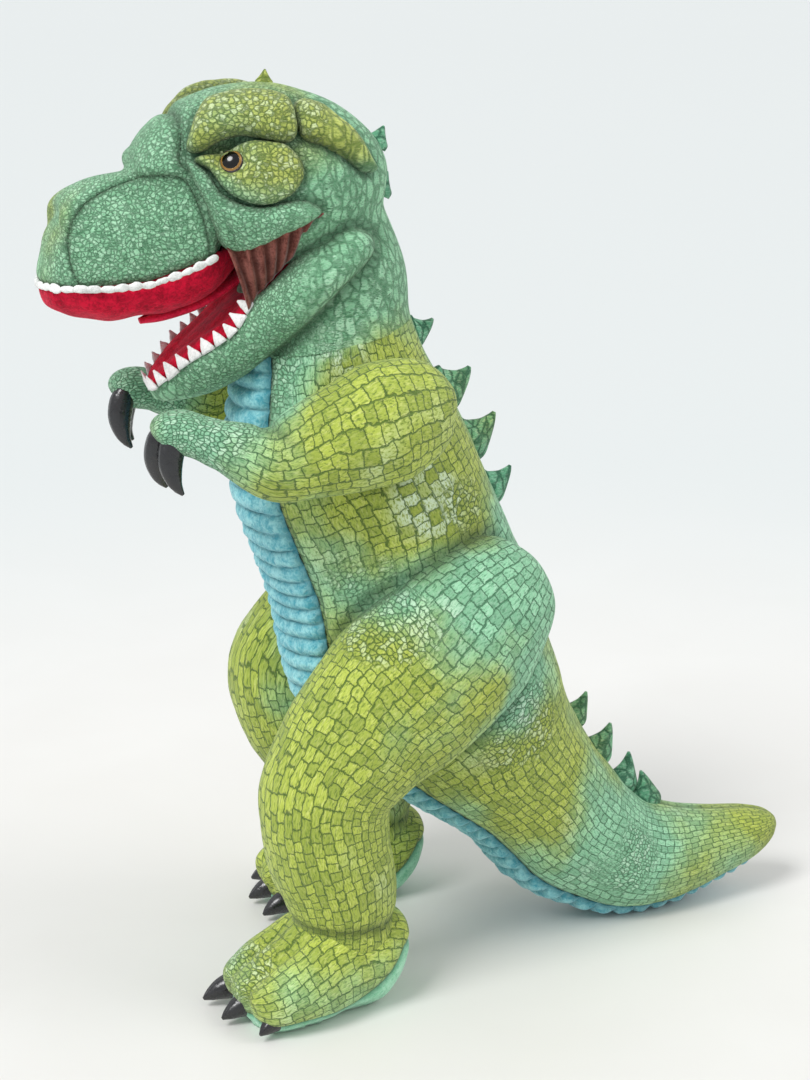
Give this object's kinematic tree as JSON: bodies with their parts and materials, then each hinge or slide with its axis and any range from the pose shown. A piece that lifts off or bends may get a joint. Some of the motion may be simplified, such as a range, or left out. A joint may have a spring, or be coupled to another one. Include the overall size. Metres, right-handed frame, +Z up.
{
  "type": "stuffed dinosaur",
  "caption": "Standing plush meat-eating dinosaur with an opening padded mouth, a turning head, swinging arms, a bending tail, back spikes and stuffed claws.",
  "frame": {"origin": "middle of the bounding box on the floor plane that the soles stand on", "axes": "+X to the toy's own left, -Y the way it faces, +Z up"},
  "size_m": [0.266, 0.5486, 0.6302],
  "materials": {
    "scale_plush": "short pile plush printed with a scale pattern, with silver foil on its high spots",
    "face_plush": "the same printed plush in yellower green, padded",
    "belly_minky": "blue minky with sewn padded ribs",
    "spike_plush": "smooth foil-printed plush",
    "sole_plush": "mint plush",
    "mouth_plush": "crimson short pile plush",
    "tongue_plush": "crimson plush, two layers",
    "tooth_fleece": "white fleece",
    "gusset_velour": "pleated red-brown velour",
    "claw_leather": "glossy black coated cloth",
    "eye_plastic": "moulded eye with a painted amber iris under a clear dome",
    "washer_plastic": "pressed locking washer",
    "fibre_fill": "polyester fibre filling"
  },
  "bodies": {
    "torso": {"torso_skin_left": "scale_plush", "torso_skin_right": "scale_plush", "belly_panel": "belly_minky", "torso_stuffing": "fibre_fill", "back_spikes": "spike_plush", "rump_spikes": "spike_plush", "leg_skin_left": "scale_plush", "leg_skin_right": "scale_plush", "leg_stuffing_left": "fibre_fill", "leg_stuffing_right": "fibre_fill", "foot_upper_left": "scale_plush", "foot_upper_right": "scale_plush", "foot_sole_left": "sole_plush", "foot_sole_right": "sole_plush", "foot_stuffing_left": "fibre_fill", "foot_stuffing_right": "fibre_fill", "toe_claws_left": "claw_leather", "toe_claws_right": "claw_leather"},
    "head": {"head_skin_left": "scale_plush", "head_skin_right": "scale_plush", "snout_skin": "scale_plush", "snout_side_left": "scale_plush", "snout_side_right": "scale_plush", "brow_left": "face_plush", "brow_right": "face_plush", "eye_patch_left": "face_plush", "eye_patch_right": "face_plush", "cheek_panel_left": "scale_plush", "cheek_panel_right": "scale_plush", "temple_roll_left": "scale_plush", "temple_roll_right": "scale_plush", "eye_left": "eye_plastic", "eye_right": "eye_plastic", "eye_washer_left": "washer_plastic", "eye_washer_right": "washer_plastic", "palate": "mouth_plush", "upper_teeth": "tooth_fleece", "head_stuffing": "fibre_fill", "head_spikes": "spike_plush", "gusset_left": "gusset_velour", "gusset_right": "gusset_velour", "tongue": "tongue_plush"},
    "jaw": {"jaw_skin": "scale_plush", "jaw_lining": "mouth_plush", "lower_teeth": "tooth_fleece", "jaw_stuffing": "fibre_fill"},
    "left_arm": {"arm_skin_left": "scale_plush", "arm_stuffing_left": "fibre_fill", "finger_claws_left": "claw_leather"},
    "right_arm": {"arm_skin_right": "scale_plush", "arm_stuffing_right": "fibre_fill", "finger_claws_right": "claw_leather"},
    "tail": {"tail_skin_left": "scale_plush", "tail_skin_right": "scale_plush", "tail_stuffing": "fibre_fill"}
  },
  "joints": [
    {"name": "neck_turn", "type": "hinge", "parent": "torso", "child": "head", "pos_m": [0, -0.08, 0.455], "axis": [0, -0.1736, 0.9848], "range_deg": [-10, 10], "stiffness_Nm_per_rad": 1.5},
    {"name": "jaw_open", "type": "hinge", "parent": "head", "child": "jaw", "pos_m": [0, -0.097, 0.514], "axis": [1, 0, 0], "range_deg": [-6, 3], "stiffness_Nm_per_rad": 1.2, "deforming": ["gusset_left", "gusset_right"]},
    {"name": "left_arm_swing", "type": "hinge", "parent": "torso", "child": "left_arm", "pos_m": [0.058, -0.056, 0.414], "axis": [1, 0, 0], "range_deg": [-15, 20], "stiffness_Nm_per_rad": 1},
    {"name": "right_arm_swing", "type": "hinge", "parent": "torso", "child": "right_arm", "pos_m": [-0.058, -0.056, 0.414], "axis": [1, 0, 0], "range_deg": [-15, 20], "stiffness_Nm_per_rad": 1},
    {"name": "tail_swing", "type": "hinge", "parent": "torso", "child": "tail", "pos_m": [0, 0.134, 0.045], "axis": [0, 0, 1], "range_deg": [-15, 15], "stiffness_Nm_per_rad": 1}
  ]
}
